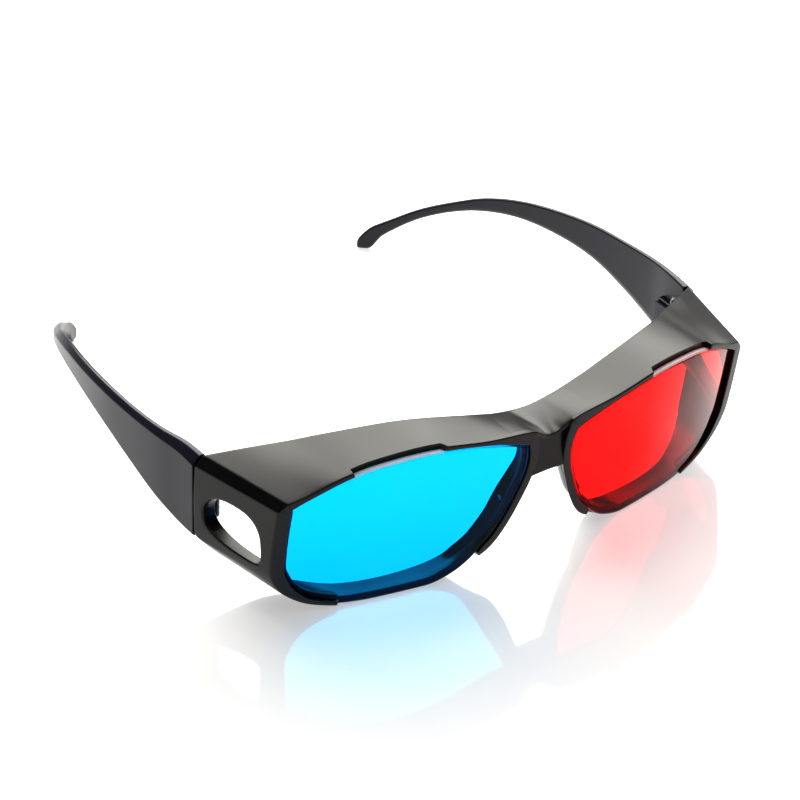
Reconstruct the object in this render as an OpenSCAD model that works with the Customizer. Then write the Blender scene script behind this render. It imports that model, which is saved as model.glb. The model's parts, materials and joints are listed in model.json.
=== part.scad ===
// Red and cyan viewing glasses of the deep, fit-over kind: one moulded front, two snapped-in
// lenses, two folding temples with ear hooks, screwed metal hinges and clear nose pads.
// Millimetres. +Z up, the front faces -Y, the lower rims and the hook tips stand on Z = 0.

/* [Front frame] */
// Width over the outer faces at the hinges
hinge_w = 160.4; // [152:0.2:172]
// Width over the front corners, at mid height
corner_w = 147; // [140:0.2:152]
// Height of the brow at its highest
brow_h = 48; // [44:0.2:54]
// Distance of the brow's highest point from the middle
brow_peak = 36; // [32:0.5:40]
// Height of the brow beside the bridge
brow_nose_h = 44.2; // [42:0.2:46]
// Height of the front corners
corner_h = 37.4; // [35:0.2:40]
// Depth of the side wraps, from the front corner to the hinge
wrap_depth = 30.8; // [27:0.2:36]
// Lower edge of the side wraps at the hinge
wrap_low = 13; // [11:0.2:15]
// Depth of the brow's rear edge behind the front corners, at the bridge
brow_rear = 1; // [-1:0.2:3]
// Rise of the lower shelf's rear edge above the table
shelf_rise = 0.4; // [0.2:0.1:1.2]
// Radius of the front face, seen from above
face_r = 206; // [170:1:260]
// Setback of the front face's edge from the line that depths are measured from
face_set = 2; // [1:0.1:3]
// Lean of the front face, its top ahead of its foot
face_tilt = 8.8; // [6:0.2:11]
// Wall of the shell
wall = 2.2; // [1.8:0.1:3]
// Wall of the side wraps at the hinge
hinge_wall = 4.4; // [4:0.1:5.4]
// Height of the brow's lip over the lens
rim_top = 1.7; // [1.2:0.1:2.4]
// Width of the outer rim beside the lens
rim_side = 3.4; // [2.6:0.1:4.4]
// Width of the nasal arm beside the lens
rim_nose = 2.6; // [2:0.1:3.4]
// Width of the ledge behind the lens
ledge = 1.4; // [1:0.1:2]
// Thickness of the ledge behind the lens
ledge_t = 1.5; // [1:0.1:2.5]

/* [Bridge] */
// Height of the bridge's front at its middle
bridge_h = 39.8; // [38.4:0.2:42]
// Height of the saddle's rear edge at its middle
saddle_h = 42; // [40.6:0.2:43.4]
// Height of the arch under the bridge
arch_h = 28.8; // [26:0.2:31]
// Width of the nose gap under the bridge
gap_top = 8.6; // [7:0.2:11]
// Width of the nose gap at the ends of the nasal arms
gap_low = 30; // [27:0.2:33]
// Thickness of the bridge block, front to back
bridge_t = 5; // [4:0.2:7]
// Step of the bridge behind the rims
bridge_step = 1.8; // [1:0.1:3]

/* [Lenses] */
// Thickness of the lenses
lens_t = 1.8; // [1.4:0.1:2.4]
// Step of the lens behind the rims
lens_step = 0.3; // [0.1:0.1:0.8]
// Inner end of the brow's notch over the lens
notch_in = 32.6; // [29:0.2:35]
// Outer end of the brow's notch over the lens
notch_out = 56; // [50:0.2:59]

/* [Side windows] */
// Front edge of the window, behind the front corner
win_front = 8.8; // [8:0.2:12]
// Rear edge of the window, behind the front corner
win_back = 27.6; // [22:0.2:27.8]
// Lower edge of the window
win_low = 15.4; // [15:0.2:18]
// Upper edge of the window
win_top = 29.6; // [26:0.2:31]

/* [Temples] */
// Reach of the temple behind the hinge
temple_len = 117; // [106:0.2:126]
// Distance between the two hook tips, centre to centre
tip_gap = 97; // [90:0.2:110]
// Height of the temple at the hinge
temple_h = 24.4; // [20:0.2:25]
// Bulge of the temple's outer face beyond the hinge
temple_bow = 1.2; // [0.4:0.1:2.4]
// Thickness of the temple at the hinge
temple_t = 3.8; // [3.2:0.1:4.2]
// Thickness of the temple's arm and hook
hook_t = 2.4; // [2:0.1:3]
// Depth of the slim part of the arm, where the hook begins
neck_h = 8.4; // [6.5:0.1:10]
// Height of the slim part's lower edge
neck_low = 24.8; // [22:0.2:26]
// Height of the hook's bar, measured upright
hook_h = 3.6; // [3:0.1:4.6]
// Height of the paddle at the hook's tip
tip_h = 5.6; // [4:0.1:7]

/* [Hinges] */
// Radius of the hinge barrels
barrel_r = 1.7; // [1.5:0.05:2]
// Radius of the pivot screw's shank
pivot_r = 0.7; // [0.55:0.05:0.8]
// Height of the middle barrel
mid_barrel = 6; // [5:0.1:7]
// Height of each outer barrel
end_barrel = 4.6; // [4:0.1:5.4]
// Height of the hinge's middle above the table
hinge_z = 26; // [25:0.1:27]
// Thickness of the hinge leaves
leaf_t = 0.9; // [0.7:0.05:1.1]
// Length of the leaf on the temple
leaf_len = 9; // [8:0.2:11]
// Length of the frame leaf's foot, over the window
leaf_foot = 5.6; // [5:0.2:8]
// Height of the leaf on the temple
leaf_h = 5.4; // [4.6:0.1:5.8]
// Radius of the leaf screws' shanks
screw_r = 0.45; // [0.35:0.05:0.5]
// Radius of the leaf screws' heads
head_r = 0.75; // [0.65:0.05:0.8]
// Length of the leaf screws
screw_len = 2.6; // [2:0.1:3]
// Height of the pivot screw's head
pivot_head = 0.8; // [0.6:0.1:1]

/* [Nose pads] */
// Thickness of the nose pads
pad_t = 1.5; // [1.2:0.1:2]
// Radius of the peg that holds a nose pad
peg_r = 1; // [0.8:0.1:1.2]

/* [Fits] */
// Clearance round a lens in its seat
lens_gap = 0.1; // [0.05:0.01:0.2]
// Clearance between the temple's end and the frame
butt_gap = 0.3; // [0.2:0.05:0.5]
// Clearance between hinge barrels, end to end
barrel_gap = 0.1; // [0.05:0.01:0.2]
// Radial clearance of the pivot screw in its barrels
pivot_gap = 0.05; // [0.02:0.01:0.08]
// Clearance round a barrel in the plastic
pocket_gap = 0.35; // [0.3:0.05:0.5]
// Clearance of leaves, screws and pegs that sit in the plastic
seat_gap = 0.04; // [0.02:0.01:0.08]

/* [Hidden] */
$fn = 48;

// Front face: a cylinder of face_r that leans forward at its top
corner_x = corner_w / 2;
hinge_x = hinge_w / 2;
face_sag = (face_r - sqrt(face_r * face_r - corner_x * corner_x)) / cos(face_tilt);
face_y = tan(face_tilt) * corner_h - face_sag + face_set;
lens_back = lens_step + lens_t;
function face(x, z) =
    face_y + (face_r - sqrt(face_r * face_r - x * x)) / cos(face_tilt) - tan(face_tilt) * z;

// Foot: height of the lens's edge over the table, depth that the flat foot cuts off, and its two ends
seat_z = 0.2;
foot_cut = 0.15;
foot_in = gap_low / 2 + 16;
foot_out = corner_x - 23.5;

// A rim zone: lens inset, opening inset, wall in front, wall at the rear, level foot, open front
brow_zone = [rim_top, rim_top + ledge, wall, wall - 0.2, 0, 0];
side_zone = [rim_side, rim_side + ledge, wall + 1, hinge_wall, 0, 0];
turn_zone = [rim_side, rim_side + ledge, wall + 0.6, wall + 0.4, 0, 0];
foot_zone = [foot_cut + seat_z, wall, wall, wall - 0.2, 1, 1];
nose_zone = [rim_nose, rim_nose + ledge, wall, wall - 0.2, 0, 0];
function blend(a, b, t) = a * (1 - t) + b * t;
corner_zone = blend(brow_zone, side_zone, 0.5);
// Towards the foot the wall changes first, and the rim thins out until its blunt end
function late_rim(zone, k) = [rim_side * k, rim_side * k + ledge, zone[2], zone[3], zone[4], 0];
bend_zone = late_rim(turn_zone, 0.8);
low_zone = late_rim(blend(turn_zone, foot_zone, 0.45), 0.56);
toe_zone = late_rim(blend(turn_zone, foot_zone, 0.95), 0.42);
arm_zone = blend(nose_zone, foot_zone, 0.8);
gap_mid = blend(gap_low, gap_top, 0.54) / 2;
gap_high = blend(gap_low, gap_top, 0.77) / 2;
foot_mid = (foot_in + foot_out) / 2;
// Heights of the nasal arm's straight upper part, between the arch and the brow
nasal_low = arch_h - 0.6;
nasal_top = brow_nose_h - 4;
nasal_mid = blend(nasal_low, nasal_top, 0.483);
// Height of the brow between the bridge and its peak
brow_mid = blend(brow_nose_h, brow_h, 0.395);

// Stations round one lens, clockwise from the bridge: front x, front z, rear x, rear y, rear z, zone
function station(x, z, rear_x, rear_y, rear_z, zone) = concat([x, z, rear_x, rear_y, rear_z], zone);
stations = [
    station(gap_top / 2 + 2.4, brow_nose_h, gap_top / 2 + 2.4, brow_rear, brow_nose_h - 2.4, brow_zone),
    station(brow_peak - 16, brow_mid, brow_peak - 16, brow_rear + 1, brow_mid - 0.1, brow_zone),
    station(brow_peak, brow_h, brow_peak, brow_rear + 4.2, brow_h, brow_zone),
    station(corner_x - 23.5, brow_h - 1.1, hinge_x - 30, wrap_depth - 19.2, brow_h - 1.8, brow_zone),
    station(corner_x - 15.5, corner_h + 6.9, hinge_x - 20, wrap_depth - 11.8, corner_h + 5.2, brow_zone),
    station(corner_x - 7.7, corner_h + 2.7, hinge_x - 11, wrap_depth - 6.2, corner_h + 3, brow_zone),
    station(corner_x - 1.9, corner_h - 0.4, hinge_x - 3.6, wrap_depth - 0.4, corner_h + 0.6, corner_zone),
    station(corner_x - 0.3, corner_h - 3.8, hinge_x - 0.2, wrap_depth, corner_h - 3, side_zone),
    station(corner_x, hinge_z + 1, hinge_x, wrap_depth, hinge_z + 1, side_zone),
    station(corner_x, wrap_low + 7, hinge_x, wrap_depth, wrap_low + 7, side_zone),
    station(corner_x - 0.4, wrap_low + 1, hinge_x - 0.2, wrap_depth, wrap_low + 2, side_zone),
    station(corner_x - 2, wrap_low - 3.2, hinge_x - 1.2, wrap_depth - 1.8, wrap_low, turn_zone),
    station(corner_x - 5, wrap_low - 6.8, hinge_x - 6.4, wrap_depth - 6.4, wrap_low - 5, bend_zone),
    station(corner_x - 10.2, 2.7, hinge_x - 14.4, wrap_depth - 13, shelf_rise + 1.8, low_zone),
    station(corner_x - 17.5, 0.45, hinge_x - 23.4, wrap_depth - 19.6, shelf_rise + 0.3, toe_zone),
    station(foot_out, -foot_cut, foot_out, brow_rear + 6.6, shelf_rise, foot_zone),
    station(foot_mid, -foot_cut, foot_mid, brow_rear + 4, shelf_rise, foot_zone),
    station(foot_in, -foot_cut, foot_in - 1, brow_rear + 3, shelf_rise, foot_zone),
    station(gap_low / 2 + 9.4, 1.9, gap_low / 2 + 8.4, brow_rear + 1.8, shelf_rise + 1.8, foot_zone),
    station(gap_low / 2 + 4.6, 4.6, gap_low / 2 + 5, brow_rear + 0.2, shelf_rise + 5.2, arm_zone),
    station(gap_low / 2 + 0.2, 7.2, gap_low / 2 + 2.4, brow_rear - 1.4, shelf_rise + 8.6, nose_zone),
    station(gap_low / 2 - 2.8, 10.6, gap_low / 2 + 0.4, brow_rear - 2.6, shelf_rise + 12.2, nose_zone),
    station(gap_mid, 16.2, gap_mid + 3.6, brow_rear - 3.6, 17.2, nose_zone),
    station(gap_high, 22.6, gap_high + 3.4, brow_rear - 4.2, 22.8, nose_zone),
    station(gap_top / 2 + 0.7, nasal_low, gap_top / 2 + 2.8, brow_rear - 4.8, nasal_low - 0.2, nose_zone),
    station(gap_top / 2 - 0.1, nasal_mid, gap_top / 2 + 0.9, brow_rear - 6, nasal_mid - 0.2, nose_zone),
    station(gap_top / 2 + 0.3, nasal_top, gap_top / 2 + 0.7, brow_rear - 5, nasal_top - 0.4, nose_zone)
];

// Smooth closed curve through the stations
steps = 3;
function curve(p, q, r, s, t) = 0.5 * (2 * q + (r - p) * t + (2 * p - 5 * q + 4 * r - s) * t * t
                                       + (3 * q - p - 3 * r + s) * t * t * t);
function closed(list, k) = let (n = len(list)) [for (i = [0:n - 1]) for (j = [0:k - 1])
    curve(list[(i + n - 1) % n], list[i], list[(i + 1) % n], list[(i + 2) % n], j / k)];
function opened(list, k) = let (n = len(list)) concat([for (i = [0:n - 2]) for (j = [0:k - 1])
    curve(list[max(i - 1, 0)], list[i], list[i + 1], list[min(i + 2, n - 1)], j / k)], [list[n - 1]]);
// The curve may swing a little past its stations, but not past the foot, the end face or a whole share
function share(v) = max(0, min(1, v));
ring = [for (s = closed(stations, steps)) [s[0], max(s[1], -foot_cut), s[2], min(s[3], wrap_depth), s[4],
                                           s[5], s[6], s[7], s[8], share(s[9]), share(s[10])]];
count = len(ring);
function at(i) = ring[(i + count) % count];
function unit(v) = v / norm(v);
// Inward direction in the front view, of the front edge and of the rear edge
function front_in(i) =
    let (d = unit([at(i + 1)[0] - at(i - 1)[0], at(i + 1)[1] - at(i - 1)[1]])) [d[1], -d[0]];
function rear_in(i) =
    let (d = unit([at(i + 1)[2] - at(i - 1)[2], at(i + 1)[4] - at(i - 1)[4]])) [d[1], -d[0]];

// Section of the shell at a station: outer front, outer rim, outer rear, then back along the inside
rim_depth = lens_back + ledge_t;
foot_depth = rim_depth + 1.2;
function outer(i, depth) =
    let (s = at(i), y = face(s[0], s[1]), f = depth / (s[3] - y))
    [s[0] + (s[2] - s[0]) * f, y + depth, s[1] + (s[4] - s[1]) * f * (1 - s[9])];
function inner(i, depth, inset) =
    let (p = outer(i, depth), n = front_in(i))
    [p[0] + n[0] * inset, p[1], p[2] + n[1] * inset];
function opening(i, depth, inset) =
    let (s = at(i), n = front_in(i), x = s[0] + n[0] * inset, z = s[1] + n[1] * inset)
    [x, face(x, z) + depth, z];
function rim_rear(i, inset) =
    let (s = at(i), n = rear_in(i)) [s[2] + n[0] * inset, s[3], s[4] + n[1] * inset];
function section(i) = [
    outer(i, 0),
    outer(i, foot_depth),
    [at(i)[2], at(i)[3], at(i)[4]],
    rim_rear(i, at(i)[8]),
    inner(i, foot_depth, at(i)[7]),
    opening(i, rim_depth, at(i)[6]),
    opening(i, 0, at(i)[6])
];

// Closed band from sections that follow each other, and a solid between two end sections
function join(i, k, n) = [for (j = [0:n - 1]) let (a = i * n + j, b = i * n + (j + 1) % n, c = k * n + j,
    d = k * n + (j + 1) % n) each [[a, b, c], [b, d, c]]];
module loop_solid(sections) {
    n = len(sections[0]);
    m = len(sections);
    polyhedron([for (s = sections) each s], [for (i = [0:m - 1]) each join(i, (i + 1) % m, n)]);
}
module run_solid(sections) {
    n = len(sections[0]);
    m = len(sections);
    polyhedron([for (s = sections) each s], concat(
        [for (i = [0:m - 2]) each join(i, i + 1, n)],
        [[for (j = [n - 1:-1:0]) j]],
        [[for (j = [0:n - 1]) (m - 1) * n + j]]));
}

// Everything is placed with the middle of its depth on Y = 0
module placed() {
    translate([0, -mid_y, 0]) children();
}
// Body of the front face's cylinder, set back by a depth
module behind_face(depth) {
    translate([0, face_y, 0]) rotate([face_tilt, 0, 0]) translate([0, face_r, -40])
        cylinder(h = 140, r = face_r - depth, $fn = 240);
}
// Outline in the front view, run through from front to back
module front_prism(points) {
    translate([0, 60, 0]) rotate([90, 0, 0]) linear_extrude(height = 120) polygon(points);
}
// Lens outline, with a clearance that the seat adds, and the front left open along the foot
function lens_line(gap, open) = [for (i = [0:count - 1])
    let (s = at(i), n = front_in(i), d = s[5] - gap - open * s[10] * 3)
    [s[0] + n[0] * d, s[1] + n[1] * d]];

// Side window, in the side view
win_h = win_top - win_low;
win_line = closed([
    [win_front, win_low + 1.6],
    [win_front, win_top - 5.4],
    [win_front + 2.4, win_top - 1.4],
    [win_front + 7, win_top],
    [win_back - 5, win_top - 0.5],
    [win_back - 1.3, win_top - 3.2],
    [win_back, win_low + win_h / 2 + 0.2],
    [win_back - 1.5, win_low + 3.6],
    [win_back - 6.2, win_low + 1.2],
    [win_front + 5.6, win_low],
    [win_front + 1.4, win_low + 0.2]
], 3);

// Hinge: the pivot stands just inside the wall, behind the frame's end face
leaf_x = hinge_x - hinge_wall;
pivot_x = leaf_x - barrel_r + 0.1;
pivot_y = wrap_depth + butt_gap / 2;
mid_low = hinge_z - mid_barrel / 2;
mid_high = hinge_z + mid_barrel / 2;
low_end = mid_low - barrel_gap - end_barrel;
high_end = mid_high + barrel_gap + end_barrel;
leaf_inner = leaf_x - leaf_t;
frame_leaf_y = win_back + 0.5;
frame_leaf_w = wrap_depth - frame_leaf_y;
leaf_foot_low = win_top + 0.7;
leaf_foot_y = frame_leaf_y - leaf_foot;
frame_screw_z = (leaf_foot_low + high_end) / 2;
temple_leaf_y = wrap_depth + butt_gap + 0.3;
head_t = leaf_t / 2;

// One half of the frame, on the side of +X
module half_frame() {
    difference() {
        loop_solid([for (i = [0:count - 1]) section(i)]);
        // Seat of the lens
        difference() {
            front_prism(lens_line(lens_gap, 1));
            behind_face(lens_back + seat_gap);
        }
        // Notch in the brow, over the lens
        difference() {
            translate([notch_in, -60, hinge_z]) cube([notch_out - notch_in, 120, 60]);
            behind_face(lens_back + seat_gap);
        }
        // Flat foot
        translate([0, -60, -20]) cube([2 * hinge_x, 200, 20]);
        // Side window
        translate([hinge_x - 20, 0, 0]) rotate([90, 0, 90]) linear_extrude(height = 40) polygon(win_line);
        // Seat of the hinge leaf, with room for the barrels
        translate([leaf_x - 6, frame_leaf_y - seat_gap, low_end - seat_gap])
            cube([6 + seat_gap, wrap_depth, high_end - low_end + 2 * seat_gap]);
        translate([leaf_x - 6, leaf_foot_y - seat_gap, leaf_foot_low - seat_gap])
            cube([6 + seat_gap, wrap_depth, high_end - leaf_foot_low + 2 * seat_gap]);
        translate([pivot_x, pivot_y, low_end - pocket_gap])
            cylinder(h = high_end - low_end + 2 * pocket_gap + pivot_head, r = barrel_r + pocket_gap);
        // Holes of the leaf screws
        for (y = frame_screw_y)
            translate([leaf_x - 1, y, frame_screw_z]) rotate([0, 90, 0])
                cylinder(h = screw_len + 1.2 - leaf_t, r = screw_r + seat_gap);
        // Hole of the nose pad's peg
        peg_bore(peg_r + seat_gap);
    }
}
frame_screw_y = [leaf_foot_y + head_r + 0.4, leaf_foot_y + leaf_foot - head_r];
temple_screw_y = [temple_leaf_y + leaf_len * 0.4, temple_leaf_y + leaf_len * 0.8];

// Bridge between the halves: a set-back block under a saddle that carries the brow on
bridge_x = gap_top / 2 + rim_nose - 0.9;
bridge_y = face(0, bridge_h) + bridge_step;
bridge_line = opened([[0, bridge_h - 0.6], [gap_top / 2, bridge_h], [bridge_x, brow_nose_h - 2.4]], 5);
arch_line = opened([[bridge_x, arch_h - 0.4], [gap_top / 2, arch_h - 0.2], [0, arch_h]], 4);
// The saddle runs from the middle to a place on the brow, and dips in front between the rims
saddle_end = at(2);
saddle_steps = 9;
function ease(t) = let (c = share(t)) c * c * (3 - 2 * c);
function saddle_section(k) =
    let (t = abs(k) / saddle_steps, x = saddle_end[0] * k / saddle_steps, dip = gap_top / 3,
         rim = blend(brow_nose_h - 0.5, saddle_end[1] - 0.1, t),
         z = blend(bridge_h, rim, ease((abs(x) - dip) / (bridge_x + 1 - dip))),
         y = face(x, z) + lens_back + 0.3, rear_z = blend(saddle_h, saddle_end[4], t * t),
         rear_y = blend(brow_rear + 0.2, saddle_end[3], t))
    [[x, y, z], [x, rear_y, rear_z], [x, rear_y, rear_z - wall], [x, y, z - wall]];
module bridge() {
    translate([0, bridge_y + bridge_t, 0]) rotate([90, 0, 0]) linear_extrude(height = bridge_t) {
        polygon(concat(bridge_line, arch_line));
        mirror([1, 0, 0]) polygon(concat(bridge_line, arch_line));
    }
    run_solid([for (k = [-saddle_steps:saddle_steps]) saddle_section(k)]);
}

module front_frame() {
    color("#1b1b1d") placed() union() {
        half_frame();
        mirror([1, 0, 0]) half_frame();
        bridge();
    }
}

// Lens, on the side of +X
module lens() {
    intersection() {
        front_prism(lens_line(0, 0));
        difference() {
            behind_face(lens_step);
            behind_face(lens_back);
        }
    }
}
module red_lens() {
    color("#e81c24", 0.6) placed() lens();
}
module cyan_lens() {
    color("#10c8e8", 0.6) placed() mirror([1, 0, 0]) lens();
}

// Temple, on the side of +X: centre x, y, lower edge, upper edge, thickness
temple_y = wrap_depth + butt_gap;
temple_x = hinge_x - temple_t / 2;
tip_x = tip_gap / 2;
arm_x = hinge_x + temple_bow - hook_t / 2;
function along(t) = temple_y + (temple_len - butt_gap) * t;
temple_line = opened([
    [temple_x, along(0), wrap_low + 0.6, wrap_low + temple_h, temple_t],
    [temple_x + temple_bow / 2, along(0.06), wrap_low + 1.2, wrap_low + temple_h + 0.4,
     blend(temple_t, hook_t, 0.3)],
    [arm_x - 0.2, along(0.145), wrap_low + 3.6, wrap_low + temple_h - 0.4, blend(temple_t, hook_t, 0.8)],
    [arm_x, along(0.25), neck_low - 4.6, neck_low + neck_h + 2.8, hook_t],
    [blend(arm_x, tip_x, 0.02), along(0.37), neck_low - 1.2, neck_low + neck_h + 1.8, hook_t],
    [blend(arm_x, tip_x, 0.08), along(0.49), neck_low, neck_low + neck_h, hook_t],
    [blend(arm_x, tip_x, 0.175), along(0.61), neck_low - 0.4, neck_low + neck_h - 2.6, hook_t],
    [blend(arm_x, tip_x, 0.295), along(0.715), neck_low - 2.8, neck_low + neck_h - 6.4, hook_t],
    [blend(arm_x, tip_x, 0.437), along(0.8), neck_low * 0.74, neck_low * 0.74 + hook_h, hook_t],
    [blend(arm_x, tip_x, 0.61), along(0.878), neck_low * 0.53, neck_low * 0.53 + hook_h, hook_t],
    [blend(arm_x, tip_x, 0.772), along(0.938), neck_low * 0.285, neck_low * 0.285 + hook_h + 0.8, hook_t],
    [blend(arm_x, tip_x, 0.905), along(0.977), neck_low * 0.08, neck_low * 0.08 + tip_h + 0.3, hook_t],
    [tip_x, along(1), 0, tip_h, hook_t]
], 3);
// Section of the temple: a bar with a broad bevel along its upper outer edge
bevel = 0.4;
function temple_way(i) =
    let (n = len(temple_line), a = temple_line[max(i - 1, 0)], b = temple_line[min(i + 1, n - 1)])
    i == 0 ? [0, 1] : unit([b[0] - a[0], b[1] - a[1]]);
function temple_section(i) =
    let (s = temple_line[i], w = temple_way(i), o = [w[1], -w[0]] * s[4] / 2, h = s[3] - s[2],
         k = min(1, h / 20), e = bevel)
    [for (q = [[1, s[2] + e], [1, s[3] - 2 * k - e], [0.3, s[3]], [-1 + 0.2, s[3]], [-1, s[3] - e],
               [-1, s[2] + e + 2.2 * k], [0.1, s[2]], [1 - 0.2, s[2]]])
        [s[0] + o[0] * q[0], s[1] + o[1] * q[0], q[1]]];
// Foremost and rearmost points of the whole, and the middle between them
front_y = min([for (s = ring) face(s[0], s[1])]);
tip_y = max([for (p = temple_section(len(temple_line) - 1)) p[1]]);
mid_y = (front_y + tip_y) / 2;
module temple() {
    difference() {
        union() {
            run_solid([for (i = [0:len(temple_line) - 1]) temple_section(i)]);
            // Boss under the hinge leaf
            translate([leaf_x, temple_leaf_y - 0.3, hinge_z - leaf_h / 2 - 0.8])
                cube([temple_t - 1, leaf_len + 1, leaf_h + 1.6]);
        }
        // Seat of the leaf
        translate([leaf_x - 6, temple_y - 1, hinge_z - leaf_h / 2 - seat_gap])
            cube([6 + seat_gap, 1 + temple_leaf_y - temple_y + leaf_len + seat_gap, leaf_h + 2 * seat_gap]);
        // Room for the barrels
        translate([pivot_x, pivot_y, low_end - pocket_gap])
            cylinder(h = high_end - low_end + 2 * pocket_gap + pivot_head, r = barrel_r + pocket_gap);
        // Holes of the leaf screws
        for (y = temple_screw_y)
            translate([leaf_x - 1, y, hinge_z]) rotate([0, 90, 0])
                cylinder(h = screw_len + 1.2 - leaf_t, r = screw_r + seat_gap);
    }
}
module right_temple() {
    color("#232326") placed() temple();
}
module left_temple() {
    color("#232326") placed() mirror([1, 0, 0]) temple();
}

// Hinge leaf on the frame: a plate in the post, with the two outer barrels
module frame_leaf() {
    difference() {
        union() {
            translate([leaf_inner, frame_leaf_y, low_end])
                cube([leaf_t, frame_leaf_w, high_end - low_end]);
            translate([leaf_inner, leaf_foot_y, leaf_foot_low])
                cube([leaf_t, leaf_foot + 1, high_end - leaf_foot_low]);
            for (z = [low_end, mid_high + barrel_gap])
                translate([pivot_x, pivot_y, z]) cylinder(h = end_barrel, r = barrel_r);
        }
        translate([pivot_x, pivot_y, low_end - 1])
            cylinder(h = high_end - low_end + 2, r = pivot_r + pivot_gap);
        translate([pivot_x, pivot_y, mid_low - barrel_gap])
            cylinder(h = mid_barrel + 2 * barrel_gap, r = barrel_r + pocket_gap);
        for (y = frame_screw_y)
            translate([leaf_inner, y, frame_screw_z]) rotate([0, 90, 0]) screw_room();
    }
}
module screw_room() {
    translate([0, 0, -1]) cylinder(h = 1 + head_t + seat_gap, r = head_r + seat_gap);
    cylinder(h = leaf_t + 1, r = screw_r + seat_gap);
}
module right_frame_leaf() {
    color("#3c3d40") placed() frame_leaf();
}
module left_frame_leaf() {
    color("#3c3d40") placed() mirror([1, 0, 0]) frame_leaf();
}

// Hinge leaf on the temple: a plate on the boss, with the middle barrel
module temple_leaf() {
    difference() {
        union() {
            translate([leaf_inner, temple_leaf_y, hinge_z - leaf_h / 2]) cube([leaf_t, leaf_len, leaf_h]);
            translate([pivot_x, pivot_y, mid_low]) cylinder(h = mid_barrel, r = barrel_r);
            translate([leaf_inner, pivot_y, hinge_z - leaf_h / 2])
                cube([leaf_t, temple_leaf_y - pivot_y + 1, leaf_h]);
        }
        translate([pivot_x, pivot_y, mid_low - 1]) cylinder(h = mid_barrel + 2, r = pivot_r + pivot_gap);
        for (y = temple_screw_y)
            translate([leaf_inner, y, hinge_z]) rotate([0, 90, 0]) screw_room();
    }
}
module right_temple_leaf() {
    color("#3c3d40") placed() temple_leaf();
}
module left_temple_leaf() {
    color("#3c3d40") placed() mirror([1, 0, 0]) temple_leaf();
}

// Pivot screw: shank through the barrels, slotted head on top
module hinge_screw() {
    difference() {
        union() {
            translate([pivot_x, pivot_y, low_end]) cylinder(h = high_end - low_end, r = pivot_r);
            translate([pivot_x, pivot_y, high_end]) cylinder(h = pivot_head, r = barrel_r - 0.3);
        }
        translate([pivot_x - barrel_r, pivot_y - 0.2, high_end + pivot_head / 2])
            cube([2 * barrel_r, 0.4, pivot_head]);
    }
}
module right_hinge_screw() {
    color("#4a4b4e") placed() hinge_screw();
}
module left_hinge_screw() {
    color("#4a4b4e") placed() mirror([1, 0, 0]) hinge_screw();
}

// Leaf screws: countersunk heads, flush with their leaf
module leaf_screw() {
    difference() {
        union() {
            cylinder(h = head_t, r = head_r);
            cylinder(h = screw_len, r = screw_r);
        }
        translate([-head_r, -0.1, -0.1]) cube([2 * head_r, 0.2, 0.3]);
    }
}
module frame_leaf_screws() {
    for (y = frame_screw_y)
        translate([leaf_inner, y, frame_screw_z]) rotate([0, 90, 0]) leaf_screw();
}
module temple_leaf_screws() {
    for (y = temple_screw_y)
        translate([leaf_inner, y, hinge_z]) rotate([0, 90, 0]) leaf_screw();
}
module right_frame_leaf_screws() {
    color("#4a4b4e") placed() frame_leaf_screws();
}
module left_frame_leaf_screws() {
    color("#4a4b4e") placed() mirror([1, 0, 0]) frame_leaf_screws();
}
module right_temple_leaf_screws() {
    color("#4a4b4e") placed() temple_leaf_screws();
}
module left_temple_leaf_screws() {
    color("#4a4b4e") placed() mirror([1, 0, 0]) temple_leaf_screws();
}

// Nose pad: a patch on the nose side of the nasal wall, with a peg through the wall
pad_first = 21 * steps;
pad_last = 24 * steps;
pad_mid = (pad_first + pad_last) / 2 + 1;
pad_front = 3;
pad_rear = 0.97;
function pad_point(i, f, lift) =
    let (s = at(i), y = face(s[0], s[1]), n = front_in(i), d = [s[2] - s[0], s[3] - y, s[4] - s[1]] * f)
    [s[0] + d[0] - n[0] * lift, y + d[1], s[1] + d[2] - n[1] * lift];
function pad_start(i) = let (s = at(i)) pad_front / (s[3] - face(s[0], s[1]));
function pad_section(i) =
    let (a = pad_start(i), t = (i - pad_first) / (pad_last - pad_first),
         h = pad_t * (0.45 + 0.55 * sin(180 * t)))
    [pad_point(i, a, seat_gap), pad_point(i, a + 0.05, h), pad_point(i, blend(a, pad_rear, 0.5), h + 0.15),
     pad_point(i, pad_rear - 0.05, h), pad_point(i, pad_rear, seat_gap)];
peg_at = pad_point(pad_mid, blend(pad_start(pad_mid), pad_rear, 0.5), 0);
module peg_bore(r) {
    translate(peg_at - [0.5, 0, 0]) rotate([0, 90, 0]) cylinder(h = wall + 2.4, r = r);
}
module nose_pad() {
    union() {
        run_solid([for (i = [pad_first:pad_last]) pad_section(i)]);
        peg_bore(peg_r);
    }
}
module right_nose_pad() {
    color("#dfe6ea", 0.7) placed() nose_pad();
}
module left_nose_pad() {
    color("#dfe6ea", 0.7) placed() mirror([1, 0, 0]) nose_pad();
}

front_frame();
cyan_lens();
red_lens();
left_temple();
right_temple();
left_frame_leaf();
right_frame_leaf();
left_temple_leaf();
right_temple_leaf();
left_hinge_screw();
right_hinge_screw();
left_frame_leaf_screws();
right_frame_leaf_screws();
left_temple_leaf_screws();
right_temple_leaf_screws();
left_nose_pad();
right_nose_pad();
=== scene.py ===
"""Dresses the red and cyan viewing glasses: smooth front, lenses, temples, pads, hinges and stage."""
import json
import math
from types import SimpleNamespace

import bmesh
import bpy
from bpy.props import FloatProperty, FloatVectorProperty, PointerProperty
from mathutils import Matrix, Vector


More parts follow.
